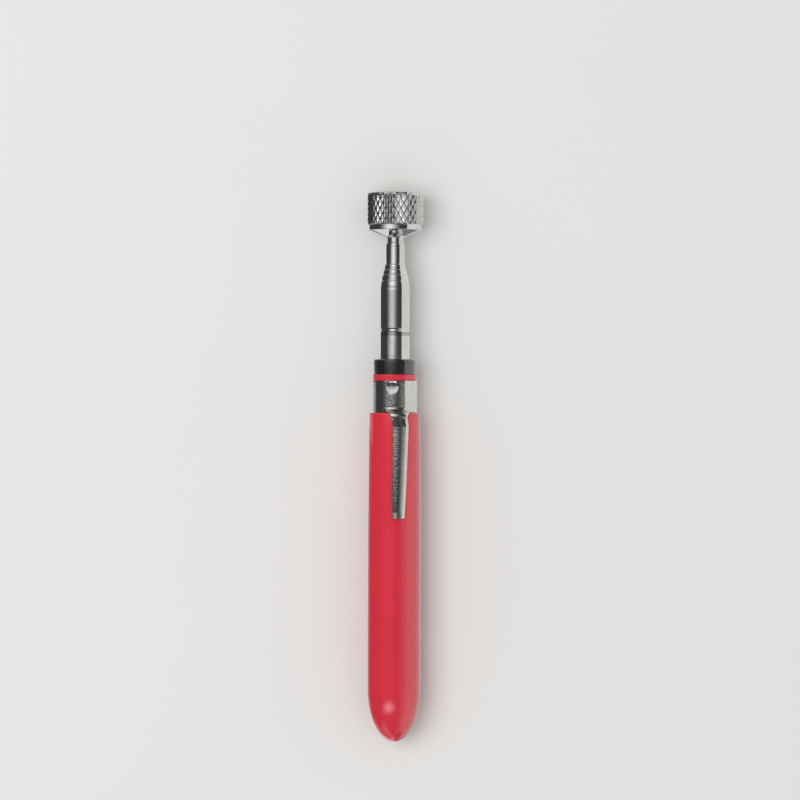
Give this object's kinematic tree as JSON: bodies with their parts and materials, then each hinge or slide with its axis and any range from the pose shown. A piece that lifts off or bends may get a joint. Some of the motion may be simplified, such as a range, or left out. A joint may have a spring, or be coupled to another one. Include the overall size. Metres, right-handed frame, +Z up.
{
  "type": "telescoping magnetic pickup tool",
  "caption": "Pocket tool with a knurled magnetic head on nested telescoping tubes, a rounded grip and a spring clip, for retrieving dropped steel parts.",
  "frame": {"origin": "on the bench, below the middle of the closed tool's length", "axes": "+X along the tool towards the magnet, +Z up with the clip on top, turned 9.5 degrees towards -Y"},
  "size_m": [0.155, 0.0158, 0.0162],
  "materials": {
    "grip": "satin red, fine grain",
    "collar": "gloss black",
    "tube": "bright nickel plate on brass",
    "clip": "bright plate on spring steel",
    "cup": "bright plate, diamond knurl",
    "magnet": "nickel plated magnet",
    "spacer": "turned brass",
    "shoe": "phosphor bronze strip",
    "plug": "turned brass",
    "screw": "steel"
  },
  "bodies": {
    "handle": {"handle_grip": "grip", "collar_bush": "collar", "tube_1": "tube", "tube_end_plug": "plug", "clip_band": "clip"},
    "clip": {"clip_arm": "clip"},
    "section_2": {"tube_2": "tube", "friction_shoe_2_front": "shoe", "friction_shoe_2_back": "shoe"},
    "section_3": {"tube_3": "tube", "friction_shoe_3_front": "shoe", "friction_shoe_3_back": "shoe"},
    "section_4": {"tube_4": "tube", "friction_shoe_4_front": "shoe", "friction_shoe_4_back": "shoe"},
    "section_5": {"tube_5": "tube", "friction_shoe_5_front": "shoe", "friction_shoe_5_back": "shoe"},
    "head_slider": {"friction_shoe_6_front": "shoe", "friction_shoe_6_back": "shoe"},
    "head": {"tube_6": "tube", "magnet_cup": "cup", "magnet": "magnet", "magnet_spacer": "spacer", "tip_plug": "plug", "head_screw": "screw"}
  },
  "joints": [
    {"name": "slide_2", "type": "slide", "parent": "handle", "child": "section_2", "axis": [1, 0, 0], "range_m": [0, 0.09795]},
    {"name": "slide_3", "type": "slide", "parent": "section_2", "child": "section_3", "axis": [1, 0, 0], "range_m": [0, 0.09475]},
    {"name": "slide_4", "type": "slide", "parent": "section_3", "child": "section_4", "axis": [1, 0, 0], "range_m": [0, 0.09115]},
    {"name": "slide_5", "type": "slide", "parent": "section_4", "child": "section_5", "axis": [1, 0, 0], "range_m": [0, 0.0877]},
    {"name": "slide_6", "type": "slide", "parent": "section_5", "child": "head_slider", "axis": [1, 0, 0], "range_m": [0, 0.0888]},
    {"name": "head_turn", "type": "hinge", "parent": "head_slider", "child": "head", "pos_m": [0.0725, 0, 0.00795], "axis": [1, 0, 0], "continuous": true},
    {"name": "clip_flex", "type": "hinge", "parent": "handle", "child": "clip", "pos_m": [0.0144, -0.0013, 0.01569], "axis": [0, 0.9863, 0.165], "range_deg": [0, 5], "stiffness_Nm_per_rad": 1.7, "springref_deg": -1.15}
  ]
}
